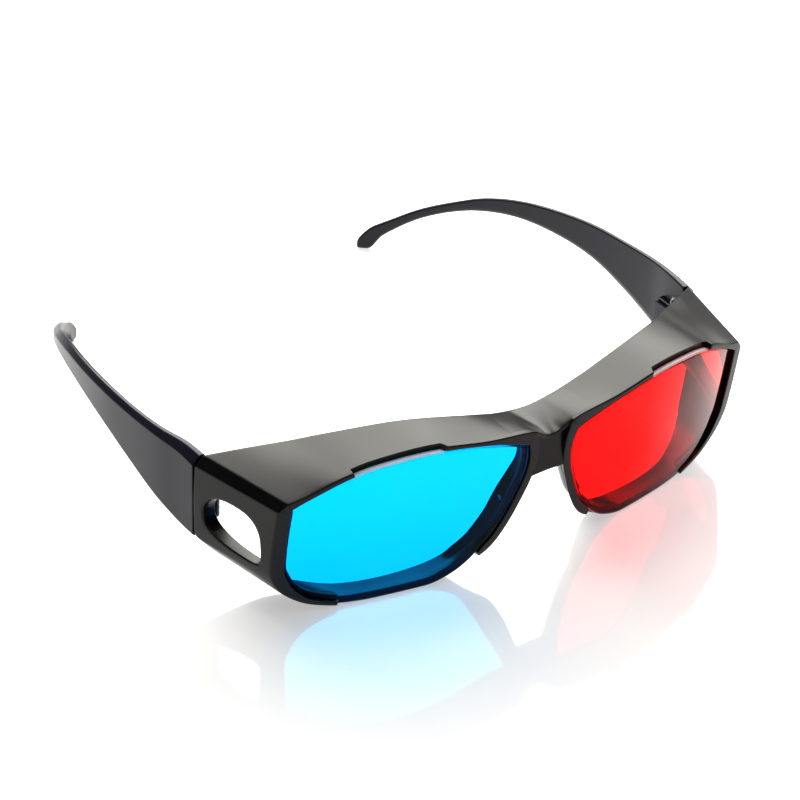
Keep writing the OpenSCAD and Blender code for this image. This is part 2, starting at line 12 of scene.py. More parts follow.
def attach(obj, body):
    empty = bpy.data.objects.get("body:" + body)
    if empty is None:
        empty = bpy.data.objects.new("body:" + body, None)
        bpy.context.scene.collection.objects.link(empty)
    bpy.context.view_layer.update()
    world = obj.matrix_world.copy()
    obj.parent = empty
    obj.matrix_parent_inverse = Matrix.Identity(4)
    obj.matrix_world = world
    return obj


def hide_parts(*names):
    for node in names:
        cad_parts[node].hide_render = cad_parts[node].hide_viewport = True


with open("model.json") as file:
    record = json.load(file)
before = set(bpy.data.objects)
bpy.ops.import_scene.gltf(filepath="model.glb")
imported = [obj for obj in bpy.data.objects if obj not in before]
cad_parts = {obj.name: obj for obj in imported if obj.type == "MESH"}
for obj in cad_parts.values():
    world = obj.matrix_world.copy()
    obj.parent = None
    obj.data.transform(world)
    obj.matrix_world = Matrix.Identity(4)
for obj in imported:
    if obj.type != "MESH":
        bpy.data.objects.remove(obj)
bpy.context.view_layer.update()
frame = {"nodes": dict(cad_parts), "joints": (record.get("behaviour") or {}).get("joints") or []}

bl_info = {
    "name": "Viewing Glasses",
    "version": (1, 0, 0),
    "blender": (4, 5, 0),
    "location": "View3D > Sidebar > Glasses",
    "description": "Builds red and cyan fit-over viewing glasses on their solid parts",
    "category": "Object",
}

MM = 0.001
HINGE_Y = frame["joints"][0]["pos_m"][1] / MM
# Ring of stations round a lens: their count, the creased ones, and the easing of creases and lip ends
STATION_COUNT = 27
CREASES = (6, 7)
CREASE_EASE = 0.08
LIP_EASE = 0.04
# Stretches of that ring: the flat foot and its first full station, the side wall, its window, and the saddle
FOOT_SPAN = [14.1, 19.5]
FOOT_START = 15
SIDE_SPAN = (6.8, 11.2)
WINDOW_SPAN = (7.35, 10.3)
SADDLE_REACH = 2 / 3
# Shares of the depth where the side wall and the saddle have a row of points
WALL_ROWS = [0.02, 0.12, 0.24, 0.36, 0.48, 0.6, 0.72, 0.84, 0.97]
SADDLE_ROWS = [0.08, 0.15, 0.23, 0.32, 0.42, 0.53, 0.64, 0.75, 0.86, 0.93]
# Millimetres: height of the foot's line before it is cut flat, extra depth there, rounding of the window, and
# where the saddle meets the rims, past their corner and behind their face
FOOT_LOW = -0.15
FOOT_EXTRA = 1.2
WINDOW_EDGE = 0.5
SADDLE_SEAM = 0.35
SADDLE_SET = 0.7
# Metres: half the table's width, and the air under the feet
TABLE_REACH = 40
TABLE_DROP = 0.0001
# Name of each side, and whether it is the mirror image
SIDES = (("right", False), ("left", True))


def length(name, description, value):
    """Size property, given in millimetres."""
    return FloatProperty(name=name, description=description, default=value * MM, unit="LENGTH", precision=5)


def angle(name, description, value):
    """Angle property, given in degrees."""
    return FloatProperty(name=name, description=description, default=math.radians(value), unit="ROTATION")


def factor(name, description, value):
    """Share from nothing to all."""
    return FloatProperty(name=name, description=description, default=value, min=0, max=1, subtype="FACTOR")


def colour(name, description, value):
    """Colour property."""
    return FloatVectorProperty(name=name, description=description, default=value, size=3, min=0, max=1,
                               subtype="COLOR")


def level(name, description, value):
    """Brightness property of a light's surface."""
    return FloatProperty(name=name, description=description, default=value, min=0, subtype="UNSIGNED")


class FrontSizes(bpy.types.PropertyGroup):
    """Sizes of the moulded front"""
    hinge_w: length("Hinge width", "Width over the outer faces at the hinges", 160.4)
    corner_w: length("Corner width", "Width over the front corners", 147)
    brow_h: length("Brow height", "Height of the brow at its highest", 48)
    brow_peak: length("Brow peak", "Distance of the brow's highest point from the middle", 36)
    brow_nose_h: length("Inner brow height", "Height of the brow beside the bridge", 44.2)
    corner_h: length("Corner height", "Height of the front corners", 37.4)
    wrap_depth: length("Wrap depth", "Depth of the side wraps", 30.8)
    wrap_low: length("Wrap low edge", "Lower edge of the side wraps at the hinge", 13)
    brow_rear: length("Brow rear", "Depth of the brow's rear edge at the bridge", 1)
    shelf_rise: length("Shelf rise", "Rise of the lower shelf's rear edge", 0.4)
    face_r: length("Face radius", "Radius of the front face from above", 206)
    face_set: length("Face setback", "Setback of the front face's edge", 2)
    face_tilt: angle("Face tilt", "Lean of the front face, its top ahead of its foot", 8.8)
    wall: length("Wall", "Wall of the shell", 2.2)
    hinge_wall: length("Hinge wall", "Wall of the side wraps at the hinge", 4.4)
    rim_top: length("Top lip", "Height of the brow's lip over the lens", 1.7)
    rim_side: length("Side rim", "Width of the outer rim beside the lens", 3.4)
    rim_nose: length("Nasal rim", "Width of the nasal arm beside the lens", 2.6)
    rim_corner: length("Corner rim", "Width of the rim at the lens's upper nasal corner", 4.4)
    ledge: length("Ledge", "Width of the ledge behind the lens", 1.4)
    ledge_t: length("Ledge thickness", "Thickness of the ledge behind the lens", 1)
    edge_r: length("Edge radius", "Rounding of the moulded edges", 0.5)
    gap_top: length("Nose gap top", "Width of the nose gap under the bridge", 8.6)
    gap_low: length("Nose gap foot", "Width of the nose gap at the arms' ends", 30)
    arch_h: length("Arch height", "Height of the arch under the bridge", 28.8)
    bridge_h: length("Bridge height", "Height of the bridge's front at its middle", 39.8)
    saddle_h: length("Saddle height", "Height of the saddle's rear edge at its middle", 42)
    bridge_t: length("Bridge depth", "Thickness of the bridge block", 5)
    bridge_step: length("Bridge step", "Step of the bridge behind the rims", 1.8)
    notch_in: length("Notch inner end", "Inner end of the brow's notch", 32.6)
    notch_out: length("Notch outer end", "Outer end of the brow's notch", 56)
    win_front: length("Window front", "Front edge of the side window", 8.8)
    win_back: length("Window back", "Rear edge of the side window", 27.6)
    win_low: length("Window low", "Lower edge of the side window", 15.4)
    win_top: length("Window top", "Upper edge of the side window", 29.6)


class LensSizes(bpy.types.PropertyGroup):
    """Sizes of the lenses and nose pads"""
    lens_t: length("Lens thickness", "Thickness of the lenses", 1.8)
    lens_step: length("Lens step", "Step of the lens behind the rims", 0.3)
    lens_gap: length("Lens gap", "Clearance round a lens", 0.1)
    lens_edge: length("Lens edge", "Chamfer of the lens's edge", 0.45)
    lens_wrap: length("Lens wrap", "Set-back of the lens's face at its outer end", 0.9)
    pad_t: length("Pad thickness", "Thickness of the nose pads", 1.5)
    peg_r: length("Peg radius", "Radius of a nose pad's peg", 1)


class TempleSizes(bpy.types.PropertyGroup):
    """Sizes of the temples"""
    temple_len: length("Temple length", "Reach of the temple behind the hinge", 117)
    tip_gap: length("Tip gap", "Distance between the hook tips", 97)
    temple_h: length("Temple height", "Height of the temple at the hinge", 24.4)
    temple_bow: length("Temple bow", "Bulge beyond the hinge", 1.2)
    temple_t: length("Temple thickness", "Thickness at the hinge", 3.8)
    hook_t: length("Hook thickness", "Thickness of the arm and hook", 2.4)
    neck_h: length("Neck depth", "Depth of the slim part of the arm", 8.4)
    neck_low: length("Neck height", "Height of the slim part's lower edge", 24.8)
    hook_h: length("Hook height", "Height of the hook's bar", 3.6)
    tip_h: length("Tip height", "Height of the paddle at the tip", 5.6)
    butt_gap: length("Butt gap", "Clearance between the temple's end and the frame", 0.3)
    hinge_z: length("Hinge height", "Height of the hinge's middle", 26)
    leaf_h: length("Leaf height", "Height of the leaf on the temple", 5.4)
    leaf_len: length("Leaf length", "Length of the leaf on the temple", 9)


class Finishes(bpy.types.PropertyGroup):
    """Colours and gloss of the surfaces"""
    front_colour: colour("Front", "Moulded front", (0.008, 0.008, 0.009))
    temple_colour: colour("Temples", "Moulded temples", (0.017, 0.0165, 0.029))
    cyan_colour: colour("Cyan lens", "Tint of the cyan lens", (0.0, 0.445, 1.0))
    red_colour: colour("Red lens", "Tint of the red lens", (1.0, 0.006, 0.006))
    pad_colour: colour("Nose pads", "Clear silicone", (0.88, 0.90, 0.91))
    steel_colour: colour("Hinge metal", "Blackened strip", (0.09, 0.09, 0.1))
    # The table's grey base and its painted glow read as white. The glow is painted light: emission standing
    # in for fill light, which also lifts the shadows on the table.
    floor_colour: colour("Table", "White table top", (0.42, 0.42, 0.42))
    painted_floor_glow: factor("Table glow", "Light that the lit table gives off", 0.31)
    front_rough: factor("Front roughness", "Roughness of the moulded front", 0.3)
    temple_rough: factor("Temple roughness", "Roughness of the temples", 0.32)


class StageSettings(bpy.types.PropertyGroup):
    """Camera and light"""
    azimuth: angle("Azimuth", "Camera azimuth, zero looks along +Y", -35.71)
    elevation: angle("Elevation", "Camera elevation", 33.11)
    roll: angle("Roll", "Camera roll", 2.16)
    distance: length("Distance", "Camera distance from the depth origin", 830.98)
    shift_x: length("Aim right", "Offset of the aim to the right", 30.8)
    shift_y: length("Aim up", "Offset of the aim upwards", -37.13)
    focal: FloatProperty(name="Focal length", description="Focal length in millimetres", default=143.43,
                         unit="CAMERA")
    key_level: level("Key softbox", "Brightness of the rear softbox and of the one over the bridge", 3.9)
    top_level: level("Top softbox", "Brightness of the overhead softbox", 1.0)
    fill_level: level("Fill", "Brightness of the front fill", 0.12)


class GlassesSettings(bpy.types.PropertyGroup):
    """All values of the glasses"""
    front: PointerProperty(type=FrontSizes)
    lens: PointerProperty(type=LensSizes)
    temple: PointerProperty(type=TempleSizes)
    finish: PointerProperty(type=Finishes)
    stage: PointerProperty(type=StageSettings)


def settings():
    """The scene's values."""
    return bpy.context.scene.viewing_glasses


def sizes():
    """Every length in millimetres and every angle in radians, by name."""
    out = SimpleNamespace()
    for group in (settings().front, settings().lens, settings().temple):
        for key in group.__annotations__:
            scale = 1 if key == "face_tilt" else MM
            setattr(out, key, getattr(group, key) / scale)
    out.depth_origin = HINGE_Y - out.wrap_depth - out.butt_gap / 2
    return out


def mix(a, b, t):
    """Value or list between a and b."""
    if isinstance(a, (list, tuple)):
        return [p * (1 - t) + q * t for p, q in zip(a, b)]
    return a * (1 - t) + b * t


def smooth(t):
    """Eased share between nothing and all."""
    t = max(0.0, min(1.0, t))
    return t * t * (3 - 2 * t)


def slope(t, first, last):
    """Share of an even climb at t, eased over its first and last stretch."""
    peak = 2 / (2 - first - last)
    if t < first:
        return peak * t * t / (2 * first)
    if t > 1 - last:
        return 1 - peak * (1 - t) ** 2 / (2 * last)
    return peak * (t - first / 2)


def curve(p, q, r, s, t):
    """Point at t on the smooth curve between q and r."""
    return [0.5 * (2 * b + (c - a) * t + (2 * a - 5 * b + 4 * c - d) * t * t
                   + (3 * b - a - 3 * c + d) * t ** 3) for a, b, c, d in zip(p, q, r, s)]


def closed_curve(points, u):
    """Point at u on the closed curve through points."""
    n, i = len(points), math.floor(u)
    return curve(points[(i - 1) % n], points[i % n], points[(i + 1) % n], points[(i + 2) % n], u - i)


def open_curve(points, u):
    """Point at u on the open curve through points."""
    n = len(points)
    i = min(max(math.floor(u), 0), n - 2)
    return curve(points[max(i - 1, 0)], points[i], points[i + 1], points[min(i + 2, n - 1)], u - i)


def fillet(corners, radii):
    """Points of a closed section whose corners are rounded, four to a corner."""
    out, n = [], len(corners)
    for k, c in enumerate(corners):
        a, b = corners[k - 1] - c, corners[(k + 1) % n] - c
        p = c + a.normalized() * min(radii[k], 0.45 * a.length)
        q = c + b.normalized() * min(radii[k], 0.45 * b.length)
        out.append([p.lerp(c, t).lerp(c.lerp(q, t), t) for t in (0, 1 / 3, 2 / 3, 1)])
    return out


def rounded(corners, radii):
    """The same points in one row."""
    return [p for part in fillet(corners, radii) for p in part]


def upright(x, y0, y1, z0, z1):
    """Corners of an upright rectangle across x."""
    return [Vector((x, y, z)) for y, z in ((y0, z0), (y0, z1), (y1, z1), (y1, z0))]


def front_stations(s):
    """Front x and z, rear x, y and z, insets of lens and opening, front and rear wall, foot share."""
    cx, hx, thin = s.corner_w / 2, s.hinge_w / 2, s.wall - 0.2

    def zone(rim, wall, rear, share=0):
        """Insets, walls and foot share where the rim has that width."""
        return [rim, rim + s.ledge, wall, rear, share]

    brow, nose, inner = (zone(rim, s.wall, thin) for rim in (s.rim_top, s.rim_nose, s.rim_corner))
    side = zone(s.rim_side, s.wall + 1, s.hinge_wall)
    turn = zone(s.rim_side, s.wall + 0.6, s.wall + 0.4)
    foot = [0.35, s.wall, s.wall, thin, 1]
    gt, gl, br, wd, bh, ch = s.gap_top / 2, s.gap_low / 2, s.brow_rear, s.wrap_depth, s.brow_h, s.corner_h
    nh, sr, wl, ah, bp = s.brow_nose_h, s.shelf_rise, s.wrap_low, s.arch_h, s.brow_peak
    mid, high = mix(gl, gt, 0.54), mix(gl, gt, 0.77)
    foot_in, foot_out = gl + 16, cx - 23.5
    foot_mid = (foot_in + foot_out) / 2

    def late_rim(share, width):
        """Zone beside the foot whose wall has changed while its rim still stands."""
        return zone(s.rim_side * width, *mix(turn, foot, share)[2:])

    arm_mid = mix(ah - 0.6, nh - 4, 0.483)
    brow_mid = mix(nh, bh, 0.395)
    rows = [
        (gt + 2.4, nh, gt + 2.4, br, nh - 2.4, inner),
        (bp - 16, brow_mid, bp - 16, br + 1, brow_mid - 0.1, brow),
        (bp, bh, bp, br + 4.2, bh, brow),
        (cx - 23.5, bh - 1.1, hx - 30, wd - 19.2, bh - 1.8, brow),
        (cx - 15.5, ch + 6.9, hx - 20, wd - 11.8, ch + 5.2, brow),
        (cx - 7.7, ch + 2.7, hx - 11, wd - 6.2, ch + 3, brow),
        (cx - 2.3, ch + 0.2, hx - 2.8, wd - 0.4, ch + 0.35, mix(brow, side, 0.5)),
        (cx - 0.25, ch - 2.3, hx - 0.3, wd, ch - 2.2, side),
        (cx, s.hinge_z + 1, hx, wd, s.hinge_z + 1, side),
        (cx, wl + 7, hx, wd, wl + 7, side),
        (cx - 0.4, wl + 1, hx - 0.2, wd, wl + 2, side),
        (cx - 2, wl - 3.2, hx - 1.2, wd - 1.8, wl, turn),
        (cx - 5, wl - 6.8, hx - 6.4, wd - 6.4, wl - 5, late_rim(0, 0.8)),
        (cx - 10.2, 2.7, hx - 14.4, wd - 13, sr + 1.8, late_rim(0.45, 0.56)),
        (cx - 17.5, 0.45, hx - 23.4, wd - 19.6, sr + 0.3, late_rim(0.95, 0.42)),
        (foot_out, FOOT_LOW, foot_out, br + 6.6, sr, foot),
        (foot_mid, FOOT_LOW, foot_mid, br + 4, sr, foot),
        (foot_in, FOOT_LOW, foot_in - 1, br + 3, sr, foot),
        (gl + 9.4, 1.9, gl + 8.4, br + 1.8, sr + 1.8, foot),
        (gl + 4.6, 4.6, gl + 5, br + 0.2, sr + 5.2, mix(nose, foot, 0.8)),
        (gl + 0.2, 7.2, gl + 2.4, br - 1.4, sr + 8.6, nose),
        (gl - 2.8, 10.6, gl + 0.4, br - 2.6, sr + 12.2, nose),
        (mid, 16.2, mid + 3.6, br - 3.6, 17.2, nose),
        (high, 22.6, high + 3.4, br - 4.2, 22.8, nose),
        (gt + 0.7, ah - 0.6, gt + 2.8, br - 4.8, ah - 0.8, nose),
        (gt - 0.1, arm_mid, gt + 0.9, br - 6, arm_mid - 0.2, nose),
        (gt + 0.3, nh - 4, gt + 0.7, br - 5, nh - 4.4, mix(nose, inner, 0.3)),
    ]
    return [list(r[:5]) + list(r[5]) for r in rows]


class FrontShape:
    """Outline and sections of one half of the front, on the side of +X, in millimetres."""

    def __init__(self, s):
        self.s = s
        self.corner_x = s.corner_w / 2
        sag = (s.face_r - math.sqrt(s.face_r ** 2 - self.corner_x ** 2)) / math.cos(s.face_tilt)
        self.face_y = math.tan(s.face_tilt) * s.corner_h - sag + s.face_set
        self.lens_back = s.lens_step + s.lens_t
        self.rim_depth = self.lens_back + s.ledge_t
        self.foot_depth = self.rim_depth + FOOT_EXTRA
        self.stations = front_stations(s)
        self.notch = [self.find(s.notch_in, 1, 3), self.find(s.notch_out, 3, 5)]

    def face(self, x, z):
        """Depth of the front face."""
        s = self.s
        return (self.face_y + (s.face_r - math.sqrt(s.face_r ** 2 - x * x)) / math.cos(s.face_tilt)
                - math.tan(s.face_tilt) * z)

    def on_curve(self, u):
        """Values at u on the curve through the stations, straight between two creases."""
        n, i = STATION_COUNT, math.floor(u)
        p, q, r, s = (self.stations[(i + k) % n] for k in (-1, 0, 1, 2))
        if i % n in CREASES:
            p = [2 * a - b for a, b in zip(q, r)]
        if (i + 1) % n in CREASES:
            s = [2 * b - a for a, b in zip(q, r)]
        return curve(p, q, r, s, u - i)

    def at(self, u):
        """Values at u on the ring, with its creases a little rounded."""
        u %= STATION_COUNT
        v = self.on_curve(u)
        for crease in CREASES:
            t = (u - crease) / (2 * CREASE_EASE) + 0.5
            if 0 < t < 1:
                p, q, r = (self.on_curve(crease + d) for d in (-CREASE_EASE, 0, CREASE_EASE))
                v = mix(mix(p, q, t), mix(q, r, t), t)
        if FOOT_SPAN[0] < u < FOOT_START:
            end = smooth((u - FOOT_SPAN[0]) / 0.06)
            v[5:7] = mix(v[5:7], self.stations[FOOT_START][5:7], end)
        v[1] = max(v[1], FOOT_LOW)
        v[3] = min(v[3], self.s.wrap_depth)
        v[9] = max(0, min(1, v[9]))
        return v

    def find(self, x, low, high):
        """Place on the ring between two stations where the front edge has that x."""
        for _ in range(40):
            u = (low + high) / 2
            if self.at(u)[0] < x:
                low = u
            else:
                high = u
        return u

    def inward(self, u, a, b):
        """Inward direction in the front view of the edge whose x and z are values a and b."""
        p, q = self.at(u - 1 / 3), self.at(u + 1 / 3)
        d = Vector((q[a] - p[a], q[b] - p[b])).normalized()
        return d[1], -d[0]

    def outer(self, v, depth):
        """Point of the outer wall."""
        y = self.face(v[0], v[1])
        f = depth / (v[3] - y)
        return Vector((mix(v[0], v[2], f), y + depth, v[1] + (v[4] - v[1]) * f * (1 - v[9])))

    def opening(self, v, n, depth, inset):
        """Point that follows the front face, set in from the edge."""
        x, z = v[0] + n[0] * inset, v[1] + n[1] * inset
        return Vector((x, self.face(x, z) + depth, z))

    def lip(self, u):
        """Share of the front lip that stands at u: none in the notch and along the foot."""
        share = 1.0
        for first, last in (self.notch, FOOT_SPAN):
            inside = min(u - first, last - u) / LIP_EASE
            share = min(share, 1 - smooth(0.5 + inside / 2))
        return share

    def walls(self, u):
        """Corners of the section at u."""
        v, s = self.at(u), self.s
        n, m = self.inward(u, 0, 1), self.inward(u, 2, 4)
        seat, lip = self.lens_back + 0.04, self.lip(u)
        foot, front = v[9], (1 - lip) * seat
        inset = max(v[5] - s.lens_gap, 0.12)
        back = v[8] - (0.2 if v[8] > s.wall + 1 else 0)
        neck = mix(2.2, self.foot_depth, foot)
        corner = self.outer(v, self.rim_depth + 0.05 + FOOT_EXTRA * foot)
        corners = [
            self.outer(v, front),
            self.outer(v, neck),
            Vector((v[2], v[3], v[4])),
            Vector((v[2] + m[0] * back, v[3], v[4] + m[1] * back)),
            corner + Vector((n[0], 0, n[1])) * v[7],
            self.opening(v, n, self.rim_depth, v[6]),
            self.opening(v, n, seat, v[6]),
            self.opening(v, n, seat, inset),
            self.opening(v, n, front, inset * mix(0.5, 1, lip)),
        ]
        for c in corners:
            c.z = max(c.z, 0)
        return corners

    def lens_point(self, u):
        """Point of the lens's outline in the front view."""
        v, n = self.at(u), self.inward(u, 0, 1)
        return Vector((v[0] + n[0] * v[5], v[1] + n[1] * v[5]))

    def wall_point(self, y, z, first, last):
        """Point of the side wall between two corners of the section, by its depth and height."""
        low, high = SIDE_SPAN
        for _ in range(36):
            u = (low + high) / 2
            w = self.walls(u)
            a, b = w[first], w[last]
            v = (y - a.y) / (b.y - a.y)
            if a.z + (b.z - a.z) * v > z:
                low = u
            else:
                high = u
        return a.lerp(b, v)


def add_object(name, data):
    """Adds an object to the scene."""
    obj = bpy.data.objects.new(name, data)
    bpy.context.scene.collection.objects.link(obj)
    return obj


class MeshPlan:
    """Vertices and faces gathered in millimetres, with the depth measured from the front corners."""

    def __init__(self, depth_origin):
        self.verts, self.faces, self.depth_origin = [], [], depth_origin
        self.edge_faces = []

    def add(self, p):
        """Adds one point and gives its number."""
        self.verts.append((p[0] * MM, (p[1] + self.depth_origin) * MM, p[2] * MM))
        return len(self.verts) - 1

    def loop(self, points):
        """Adds points and gives their numbers."""
        return [self.add(p) for p in points]

    def bridge(self, a, b):
        """Quads between two loops of the same count."""
        for k, j in enumerate([*range(1, len(a)), 0]):
            self.faces.append((a[k], b[k], b[j], a[j]))

    def cap(self, loop, flip=False):
        """Closes a loop with one face."""
        self.faces.append(tuple(reversed(loop)) if flip else tuple(loop))

    def span(self, rows, flip=False):
        """Quads between all the rows."""
        for a, b in zip(rows, rows[1:]):
            self.bridge(*((b, a) if flip else (a, b)))

    def skin(self, rows, flip=False):
        """Quads between all the rows, closed at both ends."""
        self.span(rows)
        self.cap(rows[0], flip)
        self.cap(rows[-1], not flip)

    def mirrored(self):
        """Adds the mirror image across the middle."""
        n = len(self.verts)
        self.verts += [(-x, y, z) for x, y, z in self.verts]
        self.faces += [tuple(n + i for i in reversed(f)) for f in self.faces]

    def build(self, name, mirror=False):
        """Makes the object, smooth shaded, on one side or the other."""
        side = -1 if mirror else 1
        mesh = bpy.data.meshes.new(name)
        faces = [tuple(reversed(f)) for f in self.faces] if mirror else self.faces
        mesh.from_pydata([(side * x, y, z) for x, y, z in self.verts], [], faces)
        for k in self.edge_faces:
            mesh.polygons[k].material_index = 1
        mesh.validate()
        tool = bmesh.new()
        tool.from_mesh(mesh)
        bmesh.ops.remove_doubles(tool, verts=tool.verts, dist=1e-6)
        bmesh.ops.recalc_face_normals(tool, faces=tool.faces)
        tool.to_mesh(mesh)
        tool.free()
        for p in mesh.polygons:
            p.use_smooth = True
        return add_object(name, mesh)


def weigh_normals(obj):
    """Keeps broad faces flat beside their rounded edges."""
    mod = obj.modifiers.new("Even shading", "WEIGHTED_NORMAL")
    mod.weight = 60
    mod.keep_sharp = False


def place(obj, body, nodes, material):
    """Puts a finished piece on its body, in place of its solids."""
    obj.data.materials.append(material)
    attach(obj, body)
    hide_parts(*nodes)


def ring_places(shape):
    """Places round the lens where a section is made, closer where the lip begins or ends."""
    steps = 9
    ends = shape.notch + FOOT_SPAN
    places = [u for u in (i / steps for i in range(STATION_COUNT * steps))
              if all(abs(u - e) > 0.05 for e in ends) and all(abs(u - c) > 0.12 for c in CREASES)]
    places += [e + d for e in ends for d in (-0.04, -0.028, -0.016, -0.005, 0.005, 0.016, 0.028, 0.04)]
    places += [c + CREASE_EASE * d for c in CREASES for d in (-1.3, -1, -0.5, 0, 0.5, 1, 1.3)]
    return sorted(places)


def window_middle(s):
    """Depth and height of the side window's middle."""
    return (s.win_front + s.win_back) / 2, (s.win_low + s.win_top) / 2


def nearest(turned, want):
    """The row whose angle comes nearest to the one wanted."""
    return min(turned, key=lambda row: abs(math.remainder(row[0] - want, math.tau)))


def window_ring(shape, grow, phase):
    """Outline of the side window, grown by a margin, at the angles that the wall's border gives."""
    s = shape.s
    w, b, t = s.win_low, s.win_back, s.win_top
    f, h = s.win_front, t - w
    line = [(f, w + 1.6), (f, t - 5.4), (f + 2.4, t - 1.4), (f + 7, t), (b - 5, t - 0.5), (b - 1.3, t - 3.2),
            (b, w + h / 2 + 0.2), (b - 1.5, w + 3.6), (b - 6.2, w + 1.2), (f + 5.6, w), (f + 1.4, w + 0.2)]
    steps = 24
    fine = [closed_curve(line, k / steps) for k in range(len(line) * steps)]
    mid_y, mid_z = window_middle(s)
    turned = sorted((math.atan2(z - mid_z, y - mid_y), y, z) for y, z in fine)
    out = []
    for want in phase:
        _, y, z = nearest(turned, want)
        away = Vector((y - mid_y, z - mid_z)).normalized()
        out.append((y + away[0] * grow, z + away[1] * grow))
    return out


def cut_window(shape, plan, grid, places, outer_first, inner_last):
    """Opens the side window in the swept wall, rounded on both sides, and gives the faces to skip."""
    columns = [i for i, u in enumerate(places) if WINDOW_SPAN[0] <= u <= WINDOW_SPAN[1]]
    c0, c1 = columns[0], columns[-1]
    outer_last, inner_first = outer_first + len(WALL_ROWS) - 1, inner_last - len(WALL_ROWS) + 1
    mid_y, mid_z = window_middle(shape.s)

    def border(j_front, j_rear):
        """Grid numbers round the hole: along the front row, down the far column, back and up."""
        step = 1 if j_rear > j_front else -1
        run = list(range(c0, c1 + 1))
        across = list(range(j_front, j_rear + step, step))
        loop = [(i, j_front) for i in run] + [(c1, j) for j in across[1:]]
        loop += [(i, j_rear) for i in reversed(run[:-1])] + [(c0, j) for j in reversed(across[1:-1])]
        return loop

    outside, inside = (1, 2), (4, 3)
    rims = []
    for loop, wall in ((border(outer_first, outer_last), outside), (border(inner_last, inner_first), inside)):
        rows = [[grid[i][j] for i, j in loop]]
        yz = [(plan.verts[n][1] / MM - plan.depth_origin, plan.verts[n][2] / MM) for n in rows[0]]
        phase = [math.atan2(z - mid_z, y - mid_y) for y, z in yz]
        ring = window_ring(shape, WINDOW_EDGE, phase)
        for share in (0.35, 0.7, 1.0):
            points = [mix(a, b, share) for a, b in zip(yz, ring)]
            rows.append(plan.loop([shape.wall_point(y, z, *wall) for y, z in points]))
        plan.span(rows, wall == inside)
        rims.append((rows[-1], phase))
    (outer, phase), (inner, inner_phase) = rims
    rows = [outer]
    for depth, grow in ((0.3, 0.29), (1, 0)):
        points = []
        for y, z in window_ring(shape, WINDOW_EDGE * grow, phase):
            a, b = shape.wall_point(y, z, *outside), shape.wall_point(y, z, *inside)
            points.append(a + (b - a).normalized() * (WINDOW_EDGE * depth))
        rows.append(plan.loop(points))
    back = [shape.wall_point(y, z, *inside) for y, z in window_ring(shape, 0, phase)]
    rows.append(plan.loop([p + Vector((WINDOW_EDGE, 0, 0)) for p in back]))
    turned = sorted(zip(inner_phase, inner))
    rows.append([nearest(turned, want)[1] for want in phase])
    plan.span(rows)
    spans = ((outer_first, outer_last), (inner_first, inner_last))
    return {(i, j) for i in range(c0, c1) for first, last in spans for j in range(first, last)}


def add_half_front(plan, shape):
    """Sweeps the half front's section round its lens."""
    radius = shape.s.edge_r
    radii = [radius, 0.6, radius * 0.8, radius * 0.8, 0.25, 0.3, 0.2, 0.08, radius * 0.7]
    places = ring_places(shape)
    grid, outer_first, inner_last = [], 0, 0
    for u in places:
        parts = fillet(shape.walls(u), radii)
        row = parts[0] + parts[1]
        outer_first = len(row)
        row += [parts[1][-1].lerp(parts[2][0], t) for t in WALL_ROWS]
        row += parts[2] + parts[3]
        row += [parts[4][0].lerp(parts[3][-1], t) for t in reversed(WALL_ROWS)]
        inner_last = len(row) - 1
        for part in parts[4:]:
            row += part
        grid.append(plan.loop(row))
    skip = cut_window(shape, plan, grid, places, outer_first, inner_last)
    count, wide = len(grid), len(grid[0])
    for i in range(count):
        a, b = grid[i], grid[(i + 1) % count]
        for j in range(wide):
            if (i, j) not in skip:
                k = (j + 1) % wide
                plan.faces.append((a[j], b[j], b[k], a[k]))


def saddle_spot(shape, x, v):
    """Point of the saddle's top at a distance from the middle, with v from its front edge to its rear."""
    s, reach, corner, side = shape.s, shape.at(SADDLE_REACH), shape.at(0), abs(x)
    lift, cover, bulge, sink = 0.5, 0.015, 0.4, 0.05
    rim = corner if side <= corner[0] else shape.at(shape.find(side, 0, 1))
    q = min(1, side / (corner[0] + SADDLE_SEAM))
    rise = slope(q, 0.4, 0.15)
    z = mix(s.bridge_h + lift, shape.outer(rim, SADDLE_SET).z + cover, rise)
    t = side / reach[0]
    front = Vector((x, shape.face(x, z) + mix(s.bridge_step * 0.6, SADDLE_SET, rise), z))
    rear = Vector((x, mix(s.brow_rear + 0.2, reach[3], t), mix(s.saddle_h, reach[4], t * t)))
    spot = front.lerp(rear, v)
    spot.z = mix(rear.z, front.z, (1 - v) ** mix(2, 1, smooth((q - 0.3) / 0.55)))
    swell = bulge * v * (1 - v) * (1 - smooth((t - 0.6) / 0.3))
    return spot + Vector((0, 0, swell - sink * smooth((t - 0.75) / 0.25)))


def add_bridge(plan, shape):
    """Adds the bridge: a set-back block under a saddle that carries the brow on."""
    s, steps = shape.s, 40
    reach = shape.at(SADDLE_REACH)[0]
    down = Vector((0, 0, -1.3))
    rows = []
    for k in range(-steps, steps + 1):
        x = reach * k / steps
        edge, rear = saddle_spot(shape, x, 0), saddle_spot(shape, x, 1)
        back = [saddle_spot(shape, x, v) for v in SADDLE_ROWS]
        corners = [edge + down, edge, back[0], back[-1], rear, rear + down * 1.5]
        parts = fillet(corners, [0.3, 0.25, 0, 0, 0.4, 0.4])
        rows.append(plan.loop(parts[0] + parts[1] + back + parts[4] + parts[5]))
    plan.skin(rows)
    half, steps = s.gap_top / 2, 12
    low = [[0, s.arch_h], [half, s.arch_h - 0.2], [half + s.rim_nose - 0.9, s.arch_h - 0.4]]
    front = shape.face(0, s.bridge_h) + s.bridge_step
    rear = front + s.bridge_t
    rows = []
    for k in range(-2 * steps, 2 * steps + 1):
        x, foot = open_curve(low, abs(k) / steps)
        x = math.copysign(x, k)
        corners = upright(x, front, rear, foot, saddle_spot(shape, x, 0).z - 0.5)
        rows.append(plan.loop(rounded(corners, [0.6, 0.2, 0.6, 0.8])))
    plan.skin(rows)


